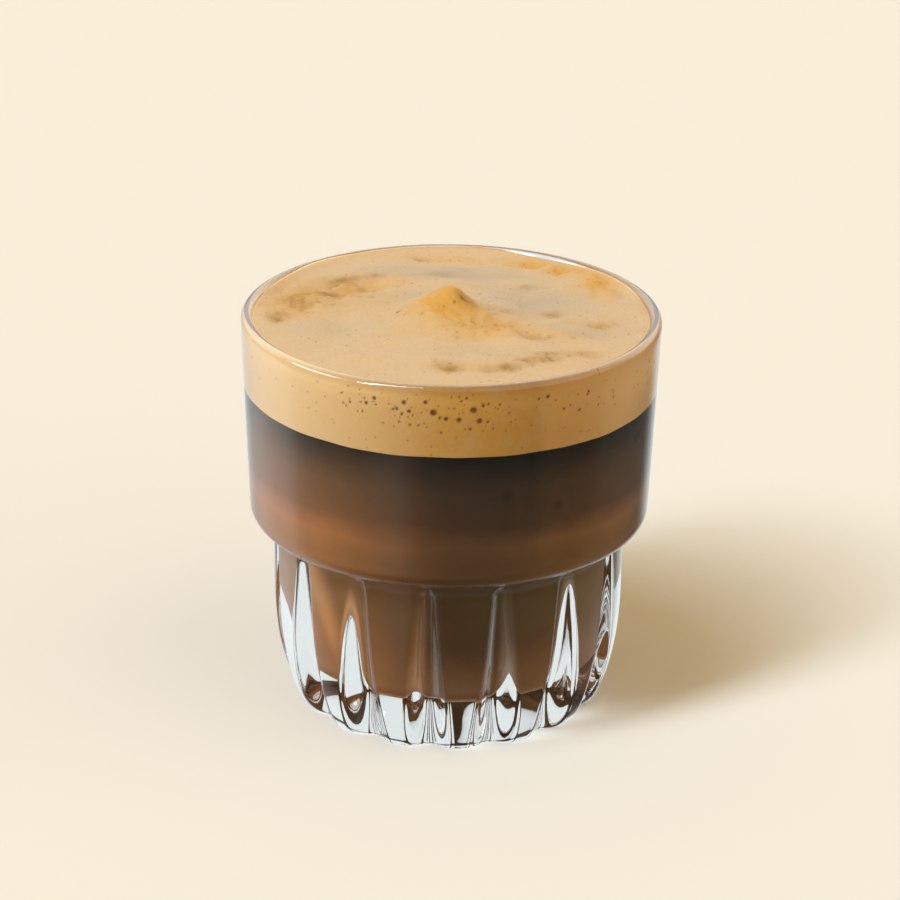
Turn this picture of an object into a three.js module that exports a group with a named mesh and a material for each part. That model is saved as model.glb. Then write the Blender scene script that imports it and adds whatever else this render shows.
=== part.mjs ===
// A glass of milk coffee: a stepped tumbler with a grooved lower body, filled with a milky and a
// dark layer of coffee under a thick foam that rises to a soft peak.
// Millimetres, +Z up. The origin is the middle of the underside, on the surface the glass stands on.
// Angles go round from the front, which faces -Y, towards +X.

import * as THREE from 'three';

// Tumbler, outside
const HEIGHT = 86.5;
const RIM_RADIUS = 44;
const LIP_THICKNESS = 2.7;
const SHOULDER_RADIUS = 42.3; // where the upper wall turns under
const SHOULDER_HEIGHT = 44.8; // middle of that bend
const SHOULDER_BEND = 4; // radius of the bend
const BODY_RADIUS = 37.2; // lower body, over its pillars
const FOOT_RADIUS = 30.05;
const FOOT_HEIGHT = 25.4; // height over which the foot rounds in
const FOOT_ROUNDNESS = 1.9; // power of the foot's curve: 2 is an ellipse

// Grooves of the lower body, with pillars between them
const GROOVES = 15;
const PILLAR_ANGLE = 5.52; // middle of the first pillar, in degrees
const GROOVE_TOP = 40.4;
const GROOVE_RUN_OUT = 3; // height over which a groove dies out at its top
const GROOVE_DEEPEST_AT = 12;
const GROOVE_DEPTH_TOP = 1.57;
const GROOVE_DEPTH_DEEPEST = 4.73;
const GROOVE_DEPTH_FOOT = 1.95;
const GROOVE_HALF_ANGLE_TOP = 3.6; // half of a groove's width, in degrees
const GROOVE_HALF_ANGLE_FOOT = 10.07;

// Tumbler, inside
const THROAT_TOP = 43.8; // where the upper bowl starts to narrow
const THROAT_TOP_RADIUS = 39.4;
const THROAT_DROP = 9.4;
const THROAT_RADIUS = 28.3;
const FLOOR_HEIGHT = 9.2; // thickness of the base
const FLOOR_RADIUS = 19.8;
const FLOOR_CORNER = 3.3; // radius of the corner between floor and wall
const HOLLOW_FLARE = 1.41; // power of the hollow's flare from floor to throat

// Contents
const GAP = 0.3; // clearance between touching pieces
const MILKY_LEVEL = 60; // top of the milky layer
const COFFEE_LEVEL = 70.7; // top of the dark layer, under the foam
const FOAM_EDGE = 85.4; // foam's top at the wall
const FOAM_DOME = 1.2; // rise of the foam from the wall to the middle
const PEAK_HEIGHT = 6;
const PEAK_SPREAD_LEFT = 9; // the peak is gentle to the left and steep to the right
const PEAK_SPREAD_RIGHT = 5.2;
const PEAK_TURN = 4; // distance from the tip over which one spread becomes the other
const PEAK_SHARPNESS = 1.3;
const PEAK_X = -0.2;
const PEAK_Y = -0.5;
const FOAM_LUMPS = [
  // x, y, height and spread of each soft lump on the foam
  [31, 21, 1, 4.5], // right, at the back
  [22, 33, 0.7, 4],
  [14, -8, 0.6, 7], // tail of the peak
  [-32, 7, 0.5, 5], // left
  [-20, 20, 0.6, 6],
  [16, -27, 0.5, 5], // front right
];

// Fineness of the facets
const GLASS_COLUMNS = GROOVES * 8;
const DRINK_COLUMNS = 48;
const FOAM_COLUMNS = 60;
const FOOT_ROWS = 6;
const BODY_ROWS = 5;
const BEND_ROWS = 5;
const LIP_ROWS = 6;
const HOLLOW_ROWS = 6;
const CORNER_ROWS = 3;
const FOAM_RINGS = 11;
const ROWS_TO_FOOT = 2; // power that draws the foot's rows down to its edge
const ROWS_TO_TOP = 0.7; // power that draws the body's rows up to the grooves' tops
const RINGS_TO_PEAK = 1.2; // power that draws the foam's rings in to its peak
const CALM_EDGE = 0.15; // share of the foam's radius, at the wall, over which its lumps die out

const { clamp, lerp, smoothstep, degToRad } = THREE.MathUtils;
const PITCH = 360 / GROOVES;

// Outer radius of the lower body over its pillars, with the foot's rounding.
function bodyRadius(z) {
  const share = clamp(1 - z / FOOT_HEIGHT, 0, 1);
  const curve = (1 - share ** FOOT_ROUNDNESS) ** (1 / FOOT_ROUNDNESS);
  return lerp(FOOT_RADIUS, BODY_RADIUS, curve);
}

// Half of a groove's width at a height, in degrees: wide at the foot and narrow at the top.
function grooveHalfAngle(z) {
  return lerp(GROOVE_HALF_ANGLE_FOOT, GROOVE_HALF_ANGLE_TOP, clamp(z / GROOVE_TOP, 0, 1));
}

// Depth of a groove's valley at a height. Across a groove the depth falls off as a squared cosine.
function grooveDepth(z) {
  if (z < GROOVE_DEEPEST_AT) {
    const share = Math.sin((z / GROOVE_DEEPEST_AT) * (Math.PI / 2));
    return lerp(GROOVE_DEPTH_FOOT, GROOVE_DEPTH_DEEPEST, share);
  }
  const share = (z - GROOVE_DEEPEST_AT) / (GROOVE_TOP - GROOVE_DEEPEST_AT);
  const fade = smoothstep(GROOVE_TOP - z, 0, GROOVE_RUN_OUT);
  return fade * lerp(GROOVE_DEPTH_DEEPEST, GROOVE_DEPTH_TOP, clamp(share, 0, 1));
}

// Radius of the hollow in the lower body: it flares from the floor to the throat.
function hollowRadius(z) {
  const throat = THROAT_TOP - THROAT_DROP;
  const share = clamp((z - FLOOR_HEIGHT) / (throat - FLOOR_HEIGHT), 0, 1);
  return lerp(FLOOR_RADIUS, THROAT_RADIUS, share ** HOLLOW_FLARE);
}

// Inner radius of the upper bowl.
function bowlRadius(z) {
  const top = HEIGHT - LIP_THICKNESS / 2;
  const share = (z - THROAT_TOP) / (top - THROAT_TOP);
  return lerp(THROAT_TOP_RADIUS, RIM_RADIUS - LIP_THICKNESS, share);
}

// Points of an arc in a profile, from one angle to another, in degrees.
function arc(middleRadius, middleZ, radius, from, to, steps) {
  const points = [];
  for (let i = 0; i <= steps; i += 1) {
    const angle = degToRad(lerp(from, to, i / steps));
    const across = middleRadius + radius * Math.cos(angle);
    points.push(new THREE.Vector2(across, middleZ + radius * Math.sin(angle)));
  }
  return points;
}

// Lower body's profile over its pillars, from the foot's edge up to the shoulder.
function bodyProfile() {
  const points = [];
  for (let i = 0; i <= FOOT_ROWS; i += 1) {
    const z = FOOT_HEIGHT * (i / FOOT_ROWS) ** ROWS_TO_FOOT;
    points.push(new THREE.Vector2(bodyRadius(z), z));
  }
  for (let i = 1; i <= BODY_ROWS; i += 1) {
    const z = lerp(FOOT_HEIGHT, GROOVE_TOP, (i / BODY_ROWS) ** ROWS_TO_TOP);
    points.push(new THREE.Vector2(bodyRadius(z), z));
  }
  return points;
}

// Hollow's profile, from the middle of the floor up to the lip.
function hollowProfile() {
  const points = [new THREE.Vector2(0, FLOOR_HEIGHT)];
  const cornerTop = FLOOR_HEIGHT + FLOOR_CORNER;
  const cornerMiddle = hollowRadius(cornerTop) - FLOOR_CORNER;
  points.push(...arc(cornerMiddle, cornerTop, FLOOR_CORNER, -90, 0, CORNER_ROWS));
  const throat = THROAT_TOP - THROAT_DROP;
  for (let i = 1; i <= HOLLOW_ROWS; i += 1) {
    const z = lerp(cornerTop, throat, i / HOLLOW_ROWS);
    points.push(new THREE.Vector2(hollowRadius(z), z));
  }
  for (let i = 1; i <= BEND_ROWS; i += 1) {
    const share = i / BEND_ROWS;
    const across = lerp(THROAT_RADIUS, THROAT_TOP_RADIUS, smoothstep(share, 0, 1));
    points.push(new THREE.Vector2(across, throat + THROAT_DROP * share));
  }
  return points;
}

// A solid turned round the Z axis, with its first column at the start angle in degrees. reshape may
// move each point, which it gets with its place on the profile and its column.
function turned(profile, columns, reshape, start = 0) {
  const geometry = new THREE.LatheGeometry(profile, columns);
  const position = geometry.getAttribute('position');
  const point = new THREE.Vector3();
  for (let i = 0; i < position.count; i += 1) {
    const row = i % profile.length;
    const column = Math.floor(i / profile.length) % columns;
    const angle = degToRad(start + (column / columns) * 360);
    const { x: radius, y: z } = profile[row];
    point.set(radius * Math.sin(angle), -radius * Math.cos(angle), z);
    if (reshape) reshape(point, row, column);
    position.setXYZ(i, point.x, point.y, point.z);
  }
  geometry.computeVertexNormals();
  return geometry;
}

// The tumbler: one profile from the middle of the underside, up the outside, over the lip and
// down the inside. The columns of the lower body follow the grooves' valleys and edges.
function tumbler() {
  const body = bodyProfile();
  const shoulderMiddle = SHOULDER_RADIUS - SHOULDER_BEND;
  const lipMiddle = RIM_RADIUS - LIP_THICKNESS / 2;
  const profile = [
    new THREE.Vector2(0, 0),
    ...body,
    ...arc(shoulderMiddle, SHOULDER_HEIGHT, SHOULDER_BEND, -90, 0, BEND_ROWS),
    ...arc(lipMiddle, HEIGHT - LIP_THICKNESS / 2, LIP_THICKNESS / 2, 0, 180, LIP_ROWS),
    ...hollowProfile().reverse(),
  ];
  const columnsPerGroove = GLASS_COLUMNS / GROOVES;
  const carve = (point, row, column) => {
    const isBody = row >= 1 && row <= body.length;
    if (!isBody) return;
    const { x: radius, y: z } = profile[row];
    const place = Math.floor(column / columnsPerGroove);
    const step = (column % columnsPerGroove) / columnsPerGroove; // 0 and 1 are pillars' middles
    const fromValley = Math.abs(step - 0.5) * 2; // 0 in the valley, 1 in a pillar's middle
    const half = grooveHalfAngle(z);
    const onWall = Math.min(fromValley * 2, 1);
    const onPillar = Math.max(fromValley * 2 - 1, 0);
    const turn = Math.sign(step - 0.5) * (half * onWall + (PITCH / 2 - half) * onPillar);
    const depth = grooveDepth(z) * Math.cos((onWall * Math.PI) / 2) ** 2;
    const angle = degToRad(PILLAR_ANGLE + PITCH * (place + 0.5) + turn);
    point.x = (radius - depth) * Math.sin(angle);
    point.y = -(radius - depth) * Math.cos(angle);
  };
  return turned(profile, GLASS_COLUMNS, carve, PILLAR_ANGLE);
}

// The milky layer: it fills the hollow from the floor to its level, clear of the glass.
function milkyLayer() {
  const top = MILKY_LEVEL - GAP / 2;
  const profile = [];
  for (const { x, y } of hollowProfile()) {
    profile.push(new THREE.Vector2(Math.max(x - GAP, 0), y + GAP));
  }
  profile.push(new THREE.Vector2(bowlRadius(top) - GAP, top));
  profile.push(new THREE.Vector2(0, top));
  return turned(profile, DRINK_COLUMNS);
}

// The dark layer, between the milky layer and the foam.
function darkLayer() {
  const bottom = MILKY_LEVEL + GAP / 2;
  const top = COFFEE_LEVEL - GAP / 2;
  const profile = [
    new THREE.Vector2(0, bottom),
    new THREE.Vector2(bowlRadius(bottom) - GAP, bottom),
    new THREE.Vector2(bowlRadius(top) - GAP, top),
    new THREE.Vector2(0, top),
  ];
  return turned(profile, DRINK_COLUMNS);
}

// Height of the foam's top: a low dome with a soft peak and a few lumps, all dying out at the wall.
function foamTop(x, y) {
  const edge = bowlRadius(FOAM_EDGE) - GAP;
  const fromWall = clamp(1 - Math.hypot(x, y) / edge, 0, 1);
  const rightward = smoothstep(x - PEAK_X, -PEAK_TURN, PEAK_TURN);
  const spread = lerp(PEAK_SPREAD_LEFT, PEAK_SPREAD_RIGHT, rightward);
  const fromPeak = Math.hypot(x - PEAK_X, y - PEAK_Y) / spread;
  let rise = PEAK_HEIGHT * Math.exp(-(fromPeak ** PEAK_SHARPNESS));
  for (const [lumpX, lumpY, height, reach] of FOAM_LUMPS) {
    const away = Math.hypot(x - lumpX, y - lumpY) / reach;
    rise += height * Math.exp(-(away ** 2));
  }
  const dome = FOAM_DOME * (1 - (1 - fromWall) ** 2);
  return FOAM_EDGE + dome + rise * smoothstep(fromWall, 0, CALM_EDGE);
}

// The foam: from the dark layer up to its uneven top.
function foam() {
  const bottom = COFFEE_LEVEL + GAP / 2;
  const edge = bowlRadius(FOAM_EDGE) - GAP;
  const profile = [
    new THREE.Vector2(0, bottom),
    new THREE.Vector2(bowlRadius(bottom) - GAP, bottom),
  ];
  const firstTopRow = profile.length;
  for (let i = FOAM_RINGS; i >= 0; i -= 1) {
    profile.push(new THREE.Vector2(edge * (i / FOAM_RINGS) ** RINGS_TO_PEAK, FOAM_EDGE));
  }
  // The top's rings close in on the peak, so that its tip is one of their points.
  const raise = (point, row) => {
    if (row < firstTopRow) return;
    const inward = 1 - Math.hypot(point.x, point.y) / edge;
    point.x += PEAK_X * inward;
    point.y += PEAK_Y * inward;
    point.z = foamTop(point.x, point.y);
  };
  return turned(profile, FOAM_COLUMNS, raise);
}

const clearGlass = new THREE.MeshStandardMaterial({
  color: 0xf2f7f8,
  roughness: 0.02,
  metalness: 0,
  transparent: true,
  opacity: 0.35,
});
const milkyBrown = new THREE.MeshStandardMaterial({ color: 0x6b4426, roughness: 0.35, metalness: 0 });
const darkBrown = new THREE.MeshStandardMaterial({ color: 0x2a1a12, roughness: 0.3, metalness: 0 });
const goldenFoam = new THREE.MeshStandardMaterial({ color: 0xcf9f5e, roughness: 0.6, metalness: 0 });

const pieces = [
  ['glass', tumbler(), clearGlass],
  ['milky_coffee', milkyLayer(), milkyBrown],
  ['dark_coffee', darkLayer(), darkBrown],
  ['foam', foam(), goldenFoam],
];

const glassOfCoffee = new THREE.Group();
for (const [name, geometry, material] of pieces) {
  const mesh = new THREE.Mesh(geometry, material);
  mesh.name = name;
  glassOfCoffee.add(mesh);
}

export default glassOfCoffee;
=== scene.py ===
import math

import bpy
import numpy as np
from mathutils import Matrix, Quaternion, Vector


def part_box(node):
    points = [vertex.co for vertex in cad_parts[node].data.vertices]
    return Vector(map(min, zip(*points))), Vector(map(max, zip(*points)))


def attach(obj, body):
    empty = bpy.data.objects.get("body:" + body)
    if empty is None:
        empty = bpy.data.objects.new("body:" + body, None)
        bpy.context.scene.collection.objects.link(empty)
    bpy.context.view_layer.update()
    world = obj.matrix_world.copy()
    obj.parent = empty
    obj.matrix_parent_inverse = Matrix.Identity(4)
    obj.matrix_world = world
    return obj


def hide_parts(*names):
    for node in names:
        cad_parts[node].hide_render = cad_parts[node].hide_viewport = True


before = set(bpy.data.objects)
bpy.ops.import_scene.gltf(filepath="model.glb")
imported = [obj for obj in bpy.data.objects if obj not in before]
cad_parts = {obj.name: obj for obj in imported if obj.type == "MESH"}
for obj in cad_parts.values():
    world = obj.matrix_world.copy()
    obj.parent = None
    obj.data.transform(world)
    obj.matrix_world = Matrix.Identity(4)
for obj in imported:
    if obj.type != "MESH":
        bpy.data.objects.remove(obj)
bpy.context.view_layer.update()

# A glass of milk coffee: a stepped tumbler with a grooved lower body, two layers of coffee and a
# thick foam with a soft peak. Shapes are worked out in millimetres and made in metres.
# Angles go round from the front, which faces -Y, towards +X, in degrees.

MM = 0.001

# Tumbler, outside
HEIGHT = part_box("glass")[1][2] / MM
RIM_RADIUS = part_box("glass")[1][0] / MM
LIP_THICKNESS = 2.7
SHOULDER_RADIUS = 42.3
SHOULDER_HEIGHT = 44.8
SHOULDER_BEND = 4.0
BODY_RADIUS = 37.2
FOOT_RADIUS = 30.05
FOOT_HEIGHT = 25.4
FOOT_ROUNDNESS = 1.9
# Small step from the lower body out to the underside of the shoulder
NECK_OUT = 0.12
NECK_UP = 0.28
# Rings near both ends of the upper wall, which keep its shading straight
WALL_LEAN = 0.05
WALL_MARGIN = 1.2

# Grooves of the lower body, with pillars between them
GROOVES = 15
PITCH = 360 / GROOVES
PILLAR_ANGLE = 5.52
GROOVE_TOP = 40.4
GROOVE_RUN_OUT = 3.0
GROOVE_DEEPEST_AT = 12.0
GROOVE_DEPTH_TOP = 1.57
GROOVE_DEPTH_DEEPEST = 4.73
GROOVE_DEPTH_FOOT = 1.95
GROOVE_HALF_ANGLE_TOP = 3.6
GROOVE_HALF_ANGLE_FOOT = 10.07

# Tumbler, inside
THROAT_TOP = 43.8
THROAT_TOP_RADIUS = 39.4
THROAT_DROP = 9.4
THROAT_RADIUS = 28.3
FLOOR_HEIGHT = 9.2
FLOOR_RADIUS = 19.8
FLOOR_CORNER = 3.3
HOLLOW_FLARE = 1.41

# Contents, which reach a little way into the glass
REACH = 0.12
MILKY_LEVEL = 60.0
COFFEE_LEVEL = 70.7
FOAM_EDGE = 85.4
FOAM_DOME = 1.2
FOAM_CALM_EDGE = 0.15
FOAM_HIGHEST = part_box("foam")[1][2] / MM
FOAM_SEED = 11
PEAK_X = -0.2
PEAK_Y = -0.5
PEAK_RISE = 5.6
PEAK_SHARPNESS = 1.3
PEAK_ROUNDING = 1.1
PEAK_SPREAD_LEFT = 7.6
PEAK_SPREAD_RIGHT = 4.4
PEAK_STEEPNESS_FRONT = 0.72
PEAK_STEEPNESS_BACK = 1.10

# Fineness of the meshes
GROOVE_COLUMNS = 48
UNDERSIDE_SHARES = (0.5, 0.9, 0.97, 0.99)
FOOT_ROWS = 26
BODY_ROWS = 34
SHOULDER_STEPS = 14
LIP_STEPS = 16
FLOOR_RING_SHARE = 0.9
CONTENTS_COLUMNS = 240
MILKY_ROWS = 14
DARK_ROWS = 12
FOAM_COLUMNS = 1024
FOAM_SIDE_ROWS = 58
# Bands of the foam's top: columns, outer radius, inner radius and number of rings
FOAM_BANDS = ((512, 41.2, 20.0, 44), (256, 19.5, 6.0, 28), (128, 5.5, 0.4, 13))
CREASE_ANGLE = 60.0


def blend(low, high, share):
    """A value part of the way between two others."""
    return low + (high - low) * share


def ease(value, low=0.0, high=1.0):
    """Smooth step from 0 at low to 1 at high."""
    share = np.clip((value - low) / (high - low), 0, 1)
    return share * share * (3 - 2 * share)


def body_radius(z):
    """Outer radius of the lower body over its pillars, with the foot's rounding."""
    share = np.clip(1 - z / FOOT_HEIGHT, 0, 1)
    return blend(FOOT_RADIUS, BODY_RADIUS, (1 - share ** FOOT_ROUNDNESS) ** (1 / FOOT_ROUNDNESS))


def groove_depth(z):
    """Depth of a groove's valley at a height."""
    if z < GROOVE_DEEPEST_AT:
        share = math.sin(z / GROOVE_DEEPEST_AT * math.pi / 2)
        return blend(GROOVE_DEPTH_FOOT, GROOVE_DEPTH_DEEPEST, share)
    share = min((z - GROOVE_DEEPEST_AT) / (GROOVE_TOP - GROOVE_DEEPEST_AT), 1)
    fade = ease(GROOVE_TOP - z, 0, GROOVE_RUN_OUT)
    return fade * blend(GROOVE_DEPTH_DEEPEST, GROOVE_DEPTH_TOP, share)


def hollow_radius(z):
    """Radius of the hollow in the lower body: it flares from the floor to the throat."""
    throat = THROAT_TOP - THROAT_DROP
    share = np.clip((z - FLOOR_HEIGHT) / (throat - FLOOR_HEIGHT), 0, 1)
    return blend(FLOOR_RADIUS, THROAT_RADIUS, share ** HOLLOW_FLARE)


def bowl_radius(z):
    """Inner radius of the upper bowl."""
    top = HEIGHT - LIP_THICKNESS / 2
    return blend(THROAT_TOP_RADIUS, RIM_RADIUS - LIP_THICKNESS, (z - THROAT_TOP) / (top - THROAT_TOP))


def wall_radius(z):
    """Inner radius of the bowl and, above it, of the round lip."""
    above = np.clip(z - (HEIGHT - LIP_THICKNESS / 2), 0, LIP_THICKNESS / 2)
    on_lip = RIM_RADIUS - LIP_THICKNESS / 2 - np.sqrt(LIP_THICKNESS ** 2 / 4 - above ** 2)
    return np.where(above > 0, on_lip, bowl_radius(z))


def arc(middle_radius, middle_z, radius, start, end, steps):
    """Points of an arc in a profile, as radius and height."""
    angles = np.radians(np.linspace(start, end, steps + 1))
    return list(zip(middle_radius + radius * np.cos(angles), middle_z + radius * np.sin(angles)))


def hollow_profile(corner_rows=8, wall_rows=18, throat_rows=14):
    """The hollow from the edge of its flat floor up to the foot of the upper bowl."""
    corner_top = FLOOR_HEIGHT + FLOOR_CORNER
    corner_middle = hollow_radius(corner_top) - FLOOR_CORNER
    points = arc(corner_middle, corner_top, FLOOR_CORNER, -90, 0, corner_rows)
    throat = THROAT_TOP - THROAT_DROP
    for z in np.linspace(corner_top, throat, wall_rows + 1)[1:]:
        points.append((hollow_radius(z), z))
    for share in np.linspace(0, 1, throat_rows + 1)[1:]:
        radius = blend(THROAT_RADIUS, THROAT_TOP_RADIUS, ease(share))
        points.append((radius, throat + THROAT_DROP * share))
    return points


def circle(radius, z, columns, start=0.0):
    """A ring of points, all at one radius and height, or at those of each column."""
    angles = np.radians(start + np.arange(columns) * 360 / columns)
    heights = np.broadcast_to(np.asarray(z, float), columns)
    return np.column_stack([radius * np.sin(angles), -radius * np.cos(angles), heights])


def strip(first, columns, second, next_columns):
    """Faces between two rings, the second with as many points as the first or half as many."""
    if next_columns == columns:
        here = np.arange(columns)
        following = (here + 1) % columns
        return np.column_stack([first + here, first + following, second + following, second + here])
    here = np.arange(next_columns)
    following = (here + 1) % next_columns
    left, middle = first + 2 * here, first + 2 * here + 1
    right = first + (2 * here + 2) % columns
    near, far = second + here, second + following
    corners = [(left, middle, near), (middle, far, near), (middle, right, far)]
    return np.concatenate([np.column_stack(corner) for corner in corners])


def fan(start, columns, tip, turned):
    """Faces from a ring to a tip, turned over at the first end of a skin."""
    here = start + np.arange(columns)
    following = start + (np.arange(columns) + 1) % columns
    sides = (following, here) if turned else (here, following)
    return np.column_stack([*sides, np.full(columns, tip)])


def add(name, data):
    """A new object in the scene."""
    made = bpy.data.objects.new(name, data)
    bpy.context.scene.collection.objects.link(made)
    return made


def skin(name, rings, first_tip, last_tip):
    """A closed smooth mesh over rings of points, with a fan to a tip at each end."""
    points = np.concatenate([*rings, [first_tip, last_tip]]) * MM
    counts = [len(ring) for ring in rings]
    starts = np.cumsum([0] + counts)
    faces = []
    for place in range(len(rings) - 1):
        faces += strip(starts[place], counts[place], starts[place + 1], counts[place + 1]).tolist()
    faces += fan(0, counts[0], len(points) - 2, True).tolist()
    faces += fan(starts[-2], counts[-1], len(points) - 1, False).tolist()
    mesh = bpy.data.meshes.new(name)
    mesh.from_pydata(points.tolist(), [], faces)
    mesh.update()
    mesh.polygons.foreach_set("use_smooth", np.ones(len(mesh.polygons), bool))
    mesh.set_sharp_from_angle(angle=math.radians(CREASE_ANGLE))
    return add(name, mesh)


# Glass and coffee

def grooved_ring(z):
    """A ring of the lower body: its columns follow the grooves' valleys and edges."""
    step = np.tile(np.arange(GROOVE_COLUMNS) / GROOVE_COLUMNS, GROOVES)
    groove = np.repeat(np.arange(GROOVES), GROOVE_COLUMNS)
    from_valley = np.abs(step - 0.5) * 2
    on_wall = np.minimum(from_valley * 2, 1)
    on_pillar = np.maximum(from_valley * 2 - 1, 0)
    half = blend(GROOVE_HALF_ANGLE_FOOT, GROOVE_HALF_ANGLE_TOP, min(z / GROOVE_TOP, 1))
    turn = np.sign(step - 0.5) * (half * on_wall + (PITCH / 2 - half) * on_pillar)
    depth = groove_depth(z) * np.cos(on_wall * math.pi / 2) ** 2
    radius = body_radius(z) - depth
    angles = np.radians(PILLAR_ANGLE + PITCH * (groove + 0.5) + turn)
    return np.column_stack([radius * np.sin(angles), -radius * np.cos(angles), np.full(len(step), z)])


def tumbler():
    """The glass, from the middle of its underside, up the outside, over the lip and down inside."""
    foot_edge = grooved_ring(0.0)
    columns = len(foot_edge)
    rings = [foot_edge * (share, share, 1) for share in UNDERSIDE_SHARES]
    rings += [grooved_ring(FOOT_HEIGHT * share ** 2) for share in np.linspace(0, 1, FOOT_ROWS)]
    rings += [grooved_ring(z) for z in np.linspace(FOOT_HEIGHT, GROOVE_TOP, BODY_ROWS + 1)[1:]]
    lip_middle = RIM_RADIUS - LIP_THICKNESS / 2
    lip_height = HEIGHT - LIP_THICKNESS / 2
    outside = [(BODY_RADIUS + NECK_OUT, GROOVE_TOP + NECK_UP)]
    outside += arc(SHOULDER_RADIUS - SHOULDER_BEND, SHOULDER_HEIGHT, SHOULDER_BEND, -90, 0, SHOULDER_STEPS)
    outside.append((SHOULDER_RADIUS + WALL_LEAN, SHOULDER_HEIGHT + WALL_MARGIN))
    outside.append((RIM_RADIUS - WALL_LEAN, lip_height - WALL_MARGIN))
    outside += arc(lip_middle, lip_height, LIP_THICKNESS / 2, 0, 180, LIP_STEPS)
    inside = hollow_profile()[::-1]
    inside.insert(0, (bowl_radius(THROAT_TOP + 1), THROAT_TOP + 1))
    inside.append((inside[-1][0] * FLOOR_RING_SHARE, FLOOR_HEIGHT))
    rings += [circle(radius, z, columns, PILLAR_ANGLE) for radius, z in outside]
    rings += [circle(radius, z, columns // 2, PILLAR_ANGLE) for radius, z in inside]
    return skin("tumbler", rings, (0, 0, 0), (0, 0, FLOOR_HEIGHT))


def foam_line(angles):
    """Height where the foam meets the coffee: level, with small waves round the wall."""
    waves = ((5, 0.4, 0.06), (11, 2.1, 0.05), (23, 4.0, 0.04))
    return COFFEE_LEVEL + sum(size * np.sin(count * np.radians(angles) + at) for count, at, size in waves)


def milky_layer():
    """The milky layer fills the hollow up to its level."""
    profile = [(radius + REACH, z) for radius, z in hollow_profile()]
    profile[0] = (profile[0][0] - REACH, FLOOR_HEIGHT - REACH)
    profile += [(bowl_radius(z) + REACH, z) for z in np.linspace(THROAT_TOP, MILKY_LEVEL, MILKY_ROWS)[1:]]
    rings = [circle(radius, z, CONTENTS_COLUMNS) for radius, z in profile]
    return skin("milky_layer", rings, (0, 0, FLOOR_HEIGHT - REACH), (0, 0, MILKY_LEVEL))


def dark_layer():
    """The dark layer, from the milky layer up to the foam's wavy line."""
    line = foam_line(np.arange(CONTENTS_COLUMNS) * 360 / CONTENTS_COLUMNS)
    rings = []
    for share in np.linspace(0, 1, DARK_ROWS):
        heights = blend(MILKY_LEVEL, line, share)
        rings.append(circle(bowl_radius(heights) + REACH, heights, CONTENTS_COLUMNS))
    return skin("dark_layer", rings, (0, 0, MILKY_LEVEL), (0, 0, COFFEE_LEVEL))


# Foam

# Broad lumps of the top, each with its place, its height and its spread
BIG_LUMPS = (
    (31, 21, 1.0, 4.5), (22, 33, 0.7, 4.0), (14, -8, 0.6, 7.0),
    (-32, 7, 0.5, 5.0), (-20, 20, 0.6, 6.0), (16, -27, 0.5, 5.0),
)
# Golden parts of the top, each with its place, its reach across, its reach in depth and its strength
GOLDEN_PATCHES = (
    (0, -2, 7, 7, 0.9), (-5, -4, 7, 6, 0.45), (7, -9, 8, 5, 0.5), (17, -12, 9, 3, 0.45), (0, -14, 12, 4, 0.2),
    (-34, 5, 7, 9, 0.45), (-26, 11, 10, 9, 0.5), (-17, 18, 9, 5, 0.4), (-2, 35, 14, 3, 0.45),
    (18, 33, 5, 3, 0.9), (25, 28, 5, 3, 0.9), (31, 21, 4, 5, 1.0), (33, 14, 3, 4, 0.5),
    (3, -31, 8, 2, 0.2), (17, -26, 7, 3, 0.25), (27, -22, 5, 4, 0.25), (29, -4, 7, 3, 0.25),
)
# Greyer milky film of the swirl, given in the same way
FILM_PATCHES = (
    (16, 6, 13, 9, 0.9), (2, 24, 15, 5, 1.0), (-15, 26, 8, 4, 0.5), (27, -9, 9, 5, 0.6), (-9, 8, 4, 5, 0.5),
    (-24, -10, 12, 6, 0.35), (8, -22, 16, 3, 0.3),
)
# Brown blotches, given in the same way: most are coarser bubbles, and the one at (6.8, -1.5) is painted shade
# on the peak's right slope
BROWN_BLOTCHES = (
    (2.6, -2.4, 1.8, 1.5, 0.7), (-28, 10, 11, 10, 0.35), (-36.3, -3.2, 1.8, 2.5, 0.9),
    (6.8, -1.5, 4.0, 3.6, 0.32), (8.5, -8.5, 6.0, 3.6, 0.20),
    (-33.1, 6.0, 2.2, 2.5, 0.6), (-30.1, 3.1, 1.6, 1.8, 0.5),
    (-26.1, 10.0, 2.4, 2.2, 0.7), (-23.5, 20.2, 3.4, 2.4, 0.9), (-18.6, 14.7, 2.2, 2.0, 0.5),
    (-16.3, 22.4, 2.0, 1.8, 0.7), (-6.8, 34.4, 1.8, 1.8, 0.8), (-2.8, 23.0, 3.2, 2.0, 0.4),
    (16.2, 16.2, 3.6, 2.4, 0.45), (21.2, 0.4, 2.2, 2.0, 0.6), (11.8, -1.8, 2.0, 1.6, 0.4),
    (17.2, -14.1, 3.0, 1.8, 0.6), (19.9, -24.3, 3.2, 2.2, 0.9), (16.0, -27.3, 3.0, 1.6, 0.7),
    (11.5, -29.8, 2.6, 1.6, 0.8), (7.9, -31.0, 2.0, 1.4, 0.5), (-0.3, -30.8, 3.2, 1.8, 0.7),
    (30.6, -5.3, 2.2, 1.6, 0.6), (33.4, -4.0, 1.6, 1.4, 0.4), (27.2, -22.9, 2.6, 1.6, 0.5),
)
# Specks of coffee on the top, each with its place and radius
SPECKS = ((2.2, -2.6, 0.55), (-11.1, -3.4, 0.40), (-8.5, 16.4, 0.35), (0.6, -4.6, 0.30), (24.0, 18.0, 0.35))
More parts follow.
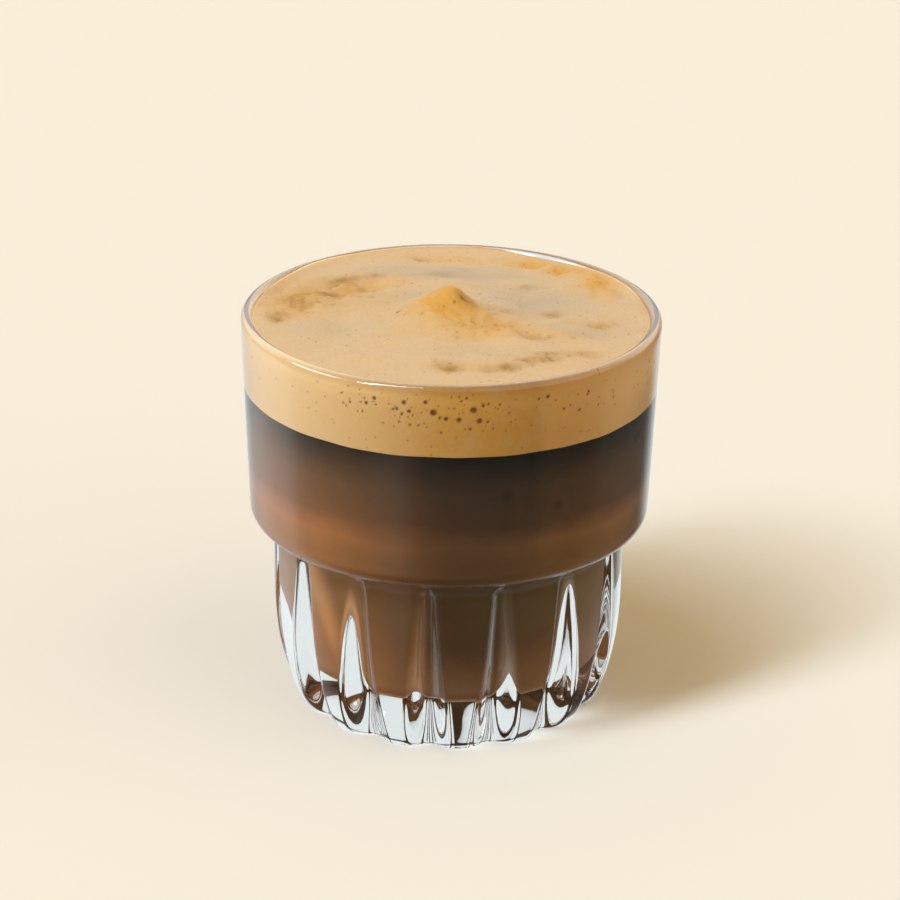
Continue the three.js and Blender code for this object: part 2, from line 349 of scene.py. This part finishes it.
# Largest bubbles on the side: angle, height and radius
SIDE_BUBBLES = (
    (-21.0, 82.5, 0.42), (-12.6, 82.3, 0.46), (-6.7, 82.7, 0.44), (-4.5, 80.5, 0.68), (6.4, 81.1, 0.66),
    (2.5, 79.0, 0.50), (8.1, 78.7, 0.56), (-1.1, 79.2, 0.44), (-11.2, 80.5, 0.38), (27.5, 82.6, 0.36),
    (-23.4, 81.2, 0.36), (-14.6, 80.8, 0.34), (5.6, 77.0, 0.30), (9.0, 82.0, 0.34), (-2.4, 76.2, 0.26),
)
# Fields of small bubbles on the side: middle angle, reach to each side and number
BUBBLE_FIELDS = ((-6, 26, 85), (38, 16, 22), (150, 40, 60), (-115, 36, 45), (85, 30, 25))
BUBBLE_HEIGHT = 80.8
BUBBLE_SPREAD = 2.2
BUBBLE_LOWEST = 74.5
BUBBLE_HIGHEST = 84.0
BUBBLE_SMALLEST = 0.10
BUBBLE_RANGE = 0.18
PIT_DEPTH = 0.8 * REACH
# How far above or below a ring of the side the bubbles that mark it lie
BUBBLE_NEAR = 1.5
# Open bubbles of the top: their number, how far out they lie, how clear of the peak and their radii
TOP_BUBBLES = 110
TOP_BUBBLE_REACH = 38
PEAK_CLEARANCE = 9
TOP_BUBBLE_RADII = (0.40, 0.80)
# Relief of the top: height, squeeze across and spacing of its ripples and of its lumps
RIPPLES = ((0.55, 0.5, 5.5), (0.22, 0.6, 2.4))
LUMPS = ((1.40, 0.8, 4.5), (0.50, 1.0, 1.8))
# How far the ripples bend, and over what spacing
RIPPLE_BEND = 2.5
RIPPLE_BEND_SPACING = 9.0
SWIRL_HEIGHT = 0.55
SWIRL_PITCH = 2.6
# The relief dies out over this distance from the wall
RELIEF_MARGIN = 2.5
# How far the foam climbs the lip: everywhere, at the back, at the front, and where it dips
CLING_LEAST = 0.12
CLING_BACK = 0.80
CLING_FRONT = 0.35
CLING_DIP = 0.6
CLING_DIP_ANGLE = 150
CLING_DIP_REACH = 14
# Distance from the wall over which that climb falls off
CLING_MARGIN = 0.9


def soft_noise(x, y, cell, seed):
    """Smooth noise between -1 and 1 whose bumps are about one cell apart."""
    size = 64
    grid = np.random.default_rng(seed).uniform(-1, 1, (size, size))
    column, row = x / cell + size / 2, y / cell + size / 2
    left, low = np.floor(column).astype(int), np.floor(row).astype(int)
    across, up = ease(column - left), ease(row - low)
    corner = [[grid[(low + j) % size, (left + i) % size] for i in (0, 1)] for j in (0, 1)]
    bottom = blend(corner[0][0], corner[0][1], across)
    top = blend(corner[1][0], corner[1][1], across)
    return blend(bottom, top, up)


def patches(x, y, places):
    """Soft patches of 0 to 1, each with its place, its reach across, its reach in depth and strength."""
    total = 0.0
    for place_x, place_y, wide, deep, strength in places:
        total = total + strength * np.exp(-((x - place_x) / wide) ** 2 - ((y - place_y) / deep) ** 2)
    return np.clip(total, 0, 1)


def foam_cling(angles):
    """How far the foam climbs the lip round the glass: most at the back, least at the left and right."""
    turn = np.radians(angles)
    at_back = CLING_BACK * ease(-np.cos(turn), 0.1, 0.75)
    at_front = CLING_FRONT * ease(np.cos(turn), 0.3, 0.9)
    waves = 0.05 * np.sin(7 * turn) + 0.04 * np.sin(13 * turn + 1)
    from_dip = ((angles - CLING_DIP_ANGLE) % 360 + 180) % 360 - 180
    dip = CLING_DIP * np.exp(-from_dip ** 2 / CLING_DIP_REACH ** 2)
    return CLING_LEAST + at_back + at_front + waves - dip


def from_peak(x, y):
    """Distance from the peak in spreads: gentle to the left of it, steep to the right, with a round tip."""
    across, along = x - PEAK_X, y - PEAK_Y
    spread = blend(PEAK_SPREAD_LEFT, PEAK_SPREAD_RIGHT, ease(across, -4.0, 4.0))
    along = along * blend(PEAK_STEEPNESS_FRONT, PEAK_STEEPNESS_BACK, ease(along, -3.0, 3.0))
    return (np.hypot(np.hypot(across, along), PEAK_ROUNDING) - PEAK_ROUNDING) / spread


def foam_height(x, y):
    """Height of the foam's top without its fine relief."""
    edge = bowl_radius(FOAM_EDGE)
    from_wall = np.clip(1 - np.hypot(x, y) / edge, 0, 1)
    rise = PEAK_RISE * np.exp(-from_peak(x, y) ** PEAK_SHARPNESS)
    for lump_x, lump_y, height, spread in BIG_LUMPS:
        rise = rise + height * np.exp(-(np.hypot(x - lump_x, y - lump_y) / spread) ** 2)
    return FOAM_EDGE + FOAM_DOME * (1 - (1 - from_wall) ** 2) + rise * ease(from_wall, 0, FOAM_CALM_EDGE)


def foam_relief(x, y):
    """Fine relief of the foam's top: a swirl round the peak, drawn-out ripples, and lumps in patches."""
    golden = patches(x, y, GOLDEN_PATCHES)
    brown = patches(x, y, BROWN_BLOTCHES)
    warp = RIPPLE_BEND * soft_noise(x, y, RIPPLE_BEND_SPACING, FOAM_SEED + 4)
    ripples, lumps = 0.0, 0.0
    for seed, (height, squeeze, cell) in enumerate(RIPPLES, FOAM_SEED):
        ripples = ripples + height * soft_noise(x * squeeze + warp, y, cell, seed)
    for seed, (height, squeeze, cell) in enumerate(LUMPS, FOAM_SEED + 2):
        lumps = lumps + height * soft_noise(x * squeeze, y, cell, seed)
    away = np.hypot(x - PEAK_X, y - PEAK_Y)
    turn = np.arctan2(y - PEAK_Y, x - PEAK_X)
    swirl = SWIRL_HEIGHT * np.sin(turn - away / SWIRL_PITCH) * ease(away, 3, 9) * ease(away, 24, 14)
    calm = ease(away, 1.0, 8.0)
    return calm * (ripples + swirl) + (golden * calm + brown * 0.4) * lumps - 0.3 * brown


def side_bubbles():
    """All bubbles on the foam's side: the largest where they show, the rest drawn by a rule."""
    draw = np.random.default_rng(FOAM_SEED)
    found = list(SIDE_BUBBLES)
    for middle, reach, count in BUBBLE_FIELDS:
        for _ in range(count):
            angle = middle + reach * draw.uniform(-1, 1)
            height = np.clip(draw.normal(BUBBLE_HEIGHT, BUBBLE_SPREAD), BUBBLE_LOWEST, BUBBLE_HIGHEST)
            found.append((angle, height, BUBBLE_SMALLEST + BUBBLE_RANGE * draw.random() ** 2))
    return np.array(found)


def top_bubbles():
    """Open bubbles on the top, drawn by a rule where the foam is golden or brown."""
    draw = np.random.default_rng(FOAM_SEED + 5)
    found = []
    while len(found) < TOP_BUBBLES:
        x, y = draw.uniform(-TOP_BUBBLE_REACH, TOP_BUBBLE_REACH, 2)
        rough = 0.35 * patches(x, y, GOLDEN_PATCHES) + patches(x, y, BROWN_BLOTCHES)
        near_peak = math.hypot(x - PEAK_X, y - PEAK_Y) < PEAK_CLEARANCE
        if math.hypot(x, y) < TOP_BUBBLE_REACH and not near_peak and draw.random() < rough:
            found.append((x, y, draw.uniform(*TOP_BUBBLE_RADII)))
    return found


def foam_side(angles, share, bubbles):
    """A ring of the foam's side, part of the way up, and how dark the bubbles make each point."""
    heights = blend(foam_line(angles), FOAM_EDGE + foam_cling(angles), share)
    wall = wall_radius(heights)
    dark, depth = np.zeros(len(angles)), np.zeros(len(angles))
    near = np.abs(bubbles[:, 1] - heights.mean()) < BUBBLE_NEAR
    for angle, z, radius in bubbles[near]:
        across = np.radians((angles - angle + 180) % 360 - 180) * wall
        away = np.hypot(across, heights - z) / radius
        # The dark of a bubble is partly painted shade in its hollow and partly the browner foam in it
        dark = np.maximum(dark, ease(1.3 - away, 0, 0.6))
        depth = np.maximum(depth, PIT_DEPTH * np.sqrt(np.clip(1 - away ** 2, 0, 1)))
    return circle(wall + REACH - depth, heights, len(angles)), dark


def foam_top(radius, columns, bubbles):
    """A ring of the foam's top, closing in on the peak, and how dark its bubbles and specks are."""
    angles = np.arange(columns) * 360 / columns
    edge = wall_radius(FOAM_EDGE) + REACH
    ring = circle(radius, 0, columns)
    ring[:, :2] += np.array([PEAK_X, PEAK_Y]) * (1 - radius / edge)
    x, y = ring[:, 0], ring[:, 1]
    inward = edge - np.hypot(x, y)
    z = foam_height(x, y) + foam_relief(x, y) * ease(inward, 0, RELIEF_MARGIN)
    z = z + foam_cling(angles) * np.exp(-inward / CLING_MARGIN)
    dark = np.zeros(columns)
    for bubble_x, bubble_y, size in bubbles:
        away = np.hypot(x - bubble_x, y - bubble_y) / size
        z = z - 0.3 * size * ease(1.2 - away)
        # The dark of an open bubble is partly painted shade in its dent and partly the browner foam in it
        dark = np.maximum(dark, 0.30 * ease(1.1 - away))
    for speck_x, speck_y, size in SPECKS:
        dark = np.maximum(dark, 0.75 * ease(1.5 - np.hypot(x - speck_x, y - speck_y) / size))
    ring[:, 2] = np.minimum(z, FOAM_HIGHEST)
    return ring, dark


def foam():
    """The foam: a side with bubbles against the glass, and an uneven top with a soft peak."""
    angles = np.arange(FOAM_COLUMNS) * 360 / FOAM_COLUMNS
    on_side, on_top = side_bubbles(), top_bubbles()
    made = [foam_side(angles, share, on_side) for share in np.linspace(0, 1, FOAM_SIDE_ROWS + 1)]
    for count, outer, inner, steps in FOAM_BANDS:
        made += [foam_top(radius, count, on_top) for radius in np.linspace(outer, inner, steps)]
    rings = [ring for ring, dark in made]
    underside = (0, 0, COFFEE_LEVEL)
    tip = (PEAK_X, PEAK_Y, rings[-1][:, 2].max())
    piece = skin("foam_head", rings, underside, tip)
    x, y = np.concatenate([*rings, [underside, tip]])[:, :2].T
    on_top_ring = [np.full(len(ring), place > FOAM_SIDE_ROWS) for place, ring in enumerate(rings)]
    top = np.concatenate([*on_top_ring, [False, True]])
    # Painted light: the side is painted paler towards its ends, most at the left where the key lamp falls
    painted_light_to_ends = ease(-x / RIM_RADIUS, -0.05, 0.80) + 0.75 * ease(x / RIM_RADIUS, 0.20, 0.90)
    shades = {
        "bubble": np.concatenate([*[dark for ring, dark in made], [0, 0]]),
        "golden": blend(1.0, patches(x, y, GOLDEN_PATCHES), top),
        "pale": (1 - top) * painted_light_to_ends,
        "brown": top * patches(x, y, BROWN_BLOTCHES),
        "film": top * patches(x, y, FILM_PATCHES),
    }
    for name, values in shades.items():
        layer = piece.data.attributes.new(name, "FLOAT", "POINT")
        layer.data.foreach_set("value", values.astype(np.float32))
    return piece


# Materials

class Wire:
    """A shader socket with arithmetic: an expression on wires adds the Math nodes that it needs."""

    def __init__(self, tree, socket=None):
        self.tree = tree
        self.socket = socket

    def node(self, kind, settings=None, sockets=None, out=0):
        """Adds a node: its settings come first, then its sockets get values or links."""
        made = self.tree.nodes.new(kind)
        for name, value in (settings or {}).items():
            if name == "stops":
                self.set_stops(made.color_ramp, value)
            else:
                setattr(made, name, value)
        for name, value in (sockets or {}).items():
            if isinstance(value, Wire):
                self.tree.links.new(value.socket, made.inputs[name])
            else:
                made.inputs[name].default_value = value
        return Wire(self.tree, made.outputs[out] if made.outputs else None)

    @staticmethod
    def set_stops(ramp, stops):
        """Gives a colour ramp its places and colours."""
        while len(ramp.elements) < len(stops):
            ramp.elements.new(1.0)
        for element, (place, shade) in zip(ramp.elements, stops):
            element.position = place
            element.color = shade

    def other(self, out):
        """Another output of the same node."""
        return Wire(self.tree, self.socket.node.outputs[out])

    def math(self, operation, *others, first=None):
        """A Math node on this value, or on another one first."""
        terms = (self, *others) if first is None else (first, self)
        return self.node("ShaderNodeMath", {"operation": operation}, dict(enumerate(terms)))

    def __add__(self, other):
        return self.math("ADD", other)

    __radd__ = __add__

    def __sub__(self, other):
        return self.math("SUBTRACT", other)

    def __rsub__(self, other):
        return self.math("SUBTRACT", first=other)

    def __mul__(self, other):
        return self.math("MULTIPLY", other)

    __rmul__ = __mul__

    def __truediv__(self, other):
        return self.math("DIVIDE", other)

    def __rtruediv__(self, other):
        return self.math("DIVIDE", first=other)

    def scale(self, amount):
        """This colour, made lighter or darker by a factor."""
        return self.node("ShaderNodeVectorMath", {"operation": "SCALE"}, {0: self, 3: amount})

    def times(self, other):
        """This colour or place, with each of its three parts multiplied by that of another."""
        return self.node("ShaderNodeVectorMath", {"operation": "MULTIPLY"}, {0: self, 1: other})

    def ease(self, low, high):
        """Smooth step of this value between two others."""
        settings = {"interpolation_type": "SMOOTHSTEP"}
        return self.node("ShaderNodeMapRange", settings, {"Value": self, "From Min": low, "From Max": high})

    def tint(self, first, second):
        """A colour between two others, by this value."""
        sockets = {0: self, 6: first, 7: second}
        return self.node("ShaderNodeMix", {"data_type": "RGBA"}, sockets, 2)

    def noise(self, place, scale, detail=2.0, roughness=0.5):
        """Soft noise over a place, in bumps to the metre."""
        sockets = {"Vector": place, "Scale": scale, "Detail": detail, "Roughness": roughness}
        return self.node("ShaderNodeTexNoise", None, sockets)

    def cells(self, place, scale):
        """Distance from the middle of the nearest of many scattered cells."""
        return self.node("ShaderNodeTexVoronoi", {"feature": "F1"}, {"Vector": place, "Scale": scale})


def colour(red, green, blue):
    """An opaque colour."""
    return (red, green, blue, 1.0)


WHITE = colour(1.0, 1.0, 1.0)

# Colours of the coffee by height. The light stop at the floor is painted light on the coffee's underside,
# which the lamps hardly reach.
COFFEE_STOPS = (
    (FLOOR_HEIGHT, colour(0.300, 0.170, 0.080)),
    (FLOOR_HEIGHT + 1.2, colour(0.115, 0.054, 0.023)),
    (24.0, colour(0.122, 0.060, 0.026)),
    (32.0, colour(0.136, 0.067, 0.029)),
    (40.0, colour(0.138, 0.067, 0.029)),
    (46.0, colour(0.112, 0.054, 0.022)),
    (50.3, colour(0.141, 0.063, 0.026)),
    (55.0, colour(0.080, 0.040, 0.020)),
    (62.5, colour(0.064, 0.036, 0.020)),
    (67.7, colour(0.030, 0.020, 0.014)),
    (COFFEE_LEVEL, colour(0.014, 0.012, 0.009)),
)
# Casts that the coffee's colour is multiplied by. They go with its painted light, and the lower body's greyer
# cast is a painted reflection of the grey sheen that the glass's pillars mirror over the coffee.
LEFT_CAST = colour(1.02, 0.96, 0.87)
RIGHT_CAST = colour(1.0, 1.16, 1.25)
LOWER_BODY_CAST = colour(0.98, 1.20, 1.42)
BASE_CAST = colour(1.0, 0.85, 0.78)

# Colours of the foam
CREAM = (colour(0.58, 0.410, 0.235), colour(0.66, 0.470, 0.285))
GOLD = (colour(0.59, 0.310, 0.062), colour(0.66, 0.360, 0.090))
MILKY_FILM = colour(0.465, 0.375, 0.265)
# Painted light of the side's paler ends
PAINTED_LIGHT_SIDE = colour(0.86, 0.60, 0.31)
BLOTCH_BROWN = colour(0.34, 0.19, 0.05)
# Brown of the bubbles, partly painted shade in their hollows
BUBBLE_BROWN = colour(0.13, 0.055, 0.014)


def new_material(name):
    """An empty material and the wire that its nodes start from."""
    material = bpy.data.materials.new(name)
    material.use_nodes = True
    material.node_tree.nodes.clear()
    return material, Wire(material.node_tree)


def close(start, surface, kind="ShaderNodeOutputMaterial"):
    """Ends a material, or the world, with its surface."""
    start.node(kind, None, {"Surface": surface})


def clear_glass():
    """Pressed glass, with the faint unevenness of a mould. Lamps shine through it."""
    material, start = new_material("clear_glass")
    place = start.node("ShaderNodeTexCoord", out="Object")
    waves = start.noise(place, 90.0, 1.0)
    bump = start.node("ShaderNodeBump", None, {"Strength": 0.03, "Distance": 0.001, "Height": waves})
    glass = start.node("ShaderNodeBsdfPrincipled", None, {
        "Base Color": WHITE,
        "Roughness": 0.0,
        "IOR": 1.5,
        "Transmission Weight": 1.0,
        "Normal": bump,
    })
    lamps = start.node("ShaderNodeBsdfTransparent", None, {"Color": WHITE})
    shadow = start.node("ShaderNodeLightPath", out="Is Shadow Ray")
    close(start, start.node("ShaderNodeMixShader", None, {0: shadow, 1: glass, 2: lamps}))
    return material


def painted_coffee_light(across, height, low):
    """Painted light on the coffee: how much lighter it is painted than its height alone says. It is lighter
    at the lit left and less so at the right, with painted glows at its left and right edges in the lower body
    and near its base except at the left, painted shade at the right of the lower body, and a lighter band at
    the right above the shoulder.
    """
    sides = 1 + 2.3 * across.ease(0.05, -0.80) + 0.9 * across.ease(0.15, 0.9)
    left_edge = 4.0 * across.ease(-0.74, -0.86) * height.ease(10, 24) * (1 - 0.65 * across.ease(-0.86, -0.92))
    right_edge = 1.0 * across.ease(0.70, 0.98)
    # Painted light near the base, at the front and right, where the lamps hardly reach the coffee
    base = 0.9 * height.ease(24, 11) * across.ease(-0.45, -0.05)
    right_band = 0.22 * across.ease(0.05, 0.45) * height.ease(56, 50) * height.ease(40, 46)
    right_shade = 0.18 * across.ease(0.20, 0.50) * low
    return (sides + low * (left_edge + right_edge) + base) * (1 + right_band) * (1 - right_shade)


def coffee_cast(across, height, low):
    """Cast of the coffee, with its painted light: warmer at the left, where the painted light is, greyer at
    the right, greyer in the lower body as a painted reflection of the glass's sheen, and warmer again near
    its base, with the painted light there.
    """
    cast = across.ease(-0.4, 0.4).tint(LEFT_CAST, RIGHT_CAST)
    cast = cast.times(low.tint(WHITE, LOWER_BODY_CAST))
    return cast.times(height.ease(31, 21).tint(WHITE, BASE_CAST))


def coffee(name):
    """Coffee that fades from near black under the foam to a milky brown, with painted light that makes it
    lighter at its sides.
    """
    material, start = new_material(name)
    place = start.node("ShaderNodeTexCoord", out="Object")
    x = start.node("ShaderNodeSeparateXYZ", None, {0: place}, "X")
    y, height = x.other("Y"), x.other("Z") / MM
    # How far to the left or the right a point lies, from -1 to 1. The last term keeps the axis off 0 / 0
    across = x / (x * x + y * y + MM * MM).math("SQRT")
    low = height.ease(42, 36)
    cloud = start.noise(place.times((1.0, 1.0, 2.2)), 55.0, 3.0)
    level = height / COFFEE_LEVEL + (cloud - 0.5) * 0.07 * height.ease(12, 30)
    stops = [(stop / COFFEE_LEVEL, shade) for stop, shade in COFFEE_STOPS]
    brown = start.node("ShaderNodeValToRGB", {"stops": stops}, {0: level})
    wisps = start.noise(place, 240.0, 3.0)
    flecks = start.cells(place, 60.0).ease(0.12, 0.02) * height.ease(50, 56) * 0.35
    # lightness is the coffee's painted light, times its own clouds and dark flecks
    lightness = painted_coffee_light(across, height, low) * (0.9 + 0.2 * wisps) * (1 - flecks)
    close(start, start.node("ShaderNodeBsdfPrincipled", None, {
        "Base Color": brown.times(coffee_cast(across, height, low)).scale(lightness),
        "Roughness": 0.4,
        "Specular IOR Level": 0.1,
    }))
    return material


def coffee_foam():
    """Pale foam, golden at the peak and round the side, with brown blotches and dark open bubbles. The side
    is painted paler towards its left and right ends as painted light, one blotch is painted shade, and the
    dark of the bubbles is partly painted shade in their hollows.
    """
    material, start = new_material("coffee_foam")
    place = start.node("ShaderNodeTexCoord", out="Object")
    golden, pale, film, brown, bubble = [
        start.node("ShaderNodeAttribute", {"attribute_name": name}, out="Fac")
        for name in ("golden", "pale", "film", "brown", "bubble")
    ]
    height = start.node("ShaderNodeSeparateXYZ", None, {0: place}, "Z") / MM
    on_top = height.ease(85.0, 85.8)
    wisps = start.noise(place, 180.0, 4.0, 0.6)
    streaks = start.noise(place.times((0.35, 1.0, 1.0)), 260.0, 3.0)
    grain = start.noise(place, 1100.0, 2.0)
    mottle = start.noise(place, 430.0, 3.0, 0.6).ease(0.34, 0.66)
    body = (film * (0.1 + streaks * 1.8)).tint(grain.tint(*CREAM), MILKY_FILM)
    gilding = golden * (0.4 + wisps * 1.2) * (1 + (mottle - 0.5) * on_top * 0.45)
    body = gilding.tint(body, grain.tint(*GOLD))
    # Painted light: the side is painted paler towards its ends
    body = pale.tint(body, PAINTED_LIGHT_SIDE)
    body = (brown * (0.2 + wisps.ease(0.25, 0.65) * 0.7 + mottle * 0.5)).tint(body, BLOTCH_BROWN)
    # Tiny dark bubbles all over, partly painted shade in their hollows
    spots = start.cells(place, 620.0)
    chosen = start.node("ShaderNodeSeparateColor", None, {0: spots.other("Color")}).ease(0.60, 0.75)
    bubble = bubble.math("MAXIMUM", spots.ease(0.20, 0.10) * chosen * 0.40)
    relief = (start.cells(place, 1500.0) * 0.5 + grain) * (0.15 + 0.85 * on_top)
    bump = start.node("ShaderNodeBump", None, {"Strength": 0.4, "Distance": 0.0004, "Height": relief})
    close(start, start.node("ShaderNodeBsdfPrincipled", None, {
        "Base Color": (bubble * 0.92).tint(body, BUBBLE_BROWN),
        "Roughness": 0.55,
        "Specular IOR Level": 0.1,
        "Normal": bump,
    }))
    return material


def pale_floor():
    """A plain matt floor."""
    material, start = new_material("pale_floor")
    close(start, start.node("ShaderNodeBsdfPrincipled", None, {
        "Base Color": colour(0.828, 0.80, 0.742),
        "Roughness": 1.0,
        "Specular IOR Level": 0.0,
    }))
    return material


# Pieces

def place_piece(piece, material, node):
    """Gives a piece its material, hangs it from the root body and hides the node of the part that it stands
    for.
    """
    piece.data.materials.append(material)
    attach(piece, "root")
    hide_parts(node)


place_piece(tumbler(), clear_glass(), "glass")
place_piece(milky_layer(), coffee("milky_coffee"), "milky_coffee")
place_piece(dark_layer(), coffee("dark_coffee"), "dark_coffee")
place_piece(foam(), coffee_foam(), "foam")

# Stage

FLOOR_SIZE = 24.0
# Light of the studio's walls
BRIGHT_WALL = colour(0.80, 0.865, 0.865)
DIM_WALL = colour(0.07, 0.07, 0.07)
LEFT_WALL = colour(1.25, 1.22, 1.20)
FRONT_PANEL = colour(0.9, 0.95, 1.0)
CEILING = colour(2.2, 2.25, 2.25)
SOFTBOX = colour(14.0, 14.5, 15.0)
WARM_FILL = colour(0.475, 0.318, 0.125)
# The key is a tall strip of lamps, so that the shadow fades out away from the glass
STRIP_ANGLE = -51.0
STRIP_SOFTNESS = 12.0
STRIP_TINT = (0.78, 0.90, 1.0)
# Elevation and energy of each lamp of the strip
STRIP_LAMPS = ((42.0, 0.91), (52.0, 0.81), (62.0, 0.61), (72.0, 0.40))
# Camera, fitted to the rim, the shoulder and the foot
CAMERA_LENS = 151.1
CAMERA_SENSOR = 36.0
CAMERA_DISTANCE = 0.8
CAMERA_ELEVATION = 22.27
CAMERA_ROLL = 0.81
CAMERA_AIM = Vector((0.0001, 0.0, 0.0553))


def stage_floor():
    """The floor, left out of what is seen through the glass or mirrored in it."""
    half = FLOOR_SIZE / 2
    mesh = bpy.data.meshes.new("floor")
    corners = [(-half, -half, 0), (half, -half, 0), (half, half, 0), (-half, half, 0)]
    mesh.from_pydata(corners, [], [(0, 1, 2, 3)])
    mesh.materials.append(pale_floor())
    floor = add("floor", mesh)
    floor.visible_transmission = False
    floor.visible_glossy = False


def studio():
    """Bright walls behind the glass and dim ones in front, with a soft warm fill for matt surfaces."""
    world = bpy.data.worlds.new("studio")
    world.use_nodes = True
    world.node_tree.nodes.clear()
    start = Wire(world.node_tree)
    direction = start.node("ShaderNodeTexCoord", out="Generated")
    x = start.node("ShaderNodeSeparateXYZ", None, {0: direction}, "X")
    y, z = x.other("Y"), x.other("Z")
    # Glossy rays are those that the glass mirrors or bends, and reflected ones are only mirrored
    glossy = start.node("ShaderNodeLightPath", out="Is Glossy Ray")
    reflected = glossy.other("Is Reflection Ray") * glossy
    dim = (y - 0.15 * x).ease(0.65, -0.20) * z.ease(0.40, 0.05) * glossy
    dim = dim.math("MAXIMUM", x.ease(0.30, 0.60) * z.ease(0.40, 0.05) * reflected * 0.9)
    dim = dim.math("MAXIMUM", y.ease(-0.80, -0.95) * 0.8)
    walls = dim.tint(BRIGHT_WALL, DIM_WALL)
    left_wall = x.ease(-0.45, -0.75) * y.ease(0.0, 0.3) * z.ease(0.05, -0.10) * reflected
    walls = left_wall.tint(walls, LEFT_WALL)
    front_panel = y.ease(-0.5, -0.8) * x.ease(-0.25, -0.45) * x.ease(-0.80, -0.60)
    walls = (front_panel * 0.25).tint(walls, FRONT_PANEL)
    ceiling = z.ease(0.05, 0.35) * y.ease(0.2, 0.6) * reflected
    walls = ceiling.tint(walls, CEILING)
    # A small bright softbox high at the left, which shows only where the glass mirrors it
    softbox = x.ease(-0.30, -0.50) * y.ease(-0.32, -0.22) * y.ease(0.26, 0.16)
    softbox = softbox * z.ease(0.46, 0.52) * z.ease(0.70, 0.64) * reflected
    walls = softbox.tint(walls, SOFTBOX)
    matt = start.node("ShaderNodeLightPath", out="Diffuse Depth").math("MINIMUM", 1.0)
    light = matt.tint(walls, WARM_FILL)
    background = start.node("ShaderNodeBackground", None, {"Color": light, "Strength": 1.0})
    close(start, background, "ShaderNodeOutputWorld")
    bpy.context.scene.world = world


def outward(angle, elevation):
    """Direction from the glass, at an angle round from the front and an elevation."""
    turn, lift = math.radians(angle), math.radians(elevation)
    return Vector((math.sin(turn) * math.cos(lift), -math.cos(turn) * math.cos(lift), math.sin(lift)))


def look_back(holder, away, roll=0.0):
    """Turns a lamp or the camera to look back along a direction."""
    holder.rotation_mode = "QUATERNION"
    spin = Quaternion((0, 0, 1), math.radians(roll))
    holder.rotation_quaternion = (-away).to_track_quat("-Z", "Y") @ spin


def lamp(name, angle, elevation, energy, softness, tint):
    """A far soft lamp, at an angle round from the front."""
    light = bpy.data.lights.new(name, "SUN")
    light.energy = energy
    light.angle = math.radians(softness)
    light.color = tint
    look_back(add(name, light), outward(angle, elevation))


def viewpoint():
    """The camera, in front of the glass and looking down on it."""
    camera = bpy.data.cameras.new("camera")
    camera.sensor_width = CAMERA_SENSOR
    camera.lens = CAMERA_LENS
    holder = add("camera", camera)
    away = outward(0.0, CAMERA_ELEVATION)
    holder.location = CAMERA_AIM + away * CAMERA_DISTANCE
    look_back(holder, away, CAMERA_ROLL)
    bpy.context.scene.camera = holder


stage_floor()
studio()
for elevation, energy in STRIP_LAMPS:
    lamp(f"strip_{elevation:.0f}", STRIP_ANGLE, elevation, energy, STRIP_SOFTNESS, STRIP_TINT)
lamp("fill", angle=62.0, elevation=40.0, energy=0.65, softness=70.0, tint=(1.0, 0.93, 0.78))
viewpoint()
bpy.context.scene.view_settings.view_transform = "Standard"
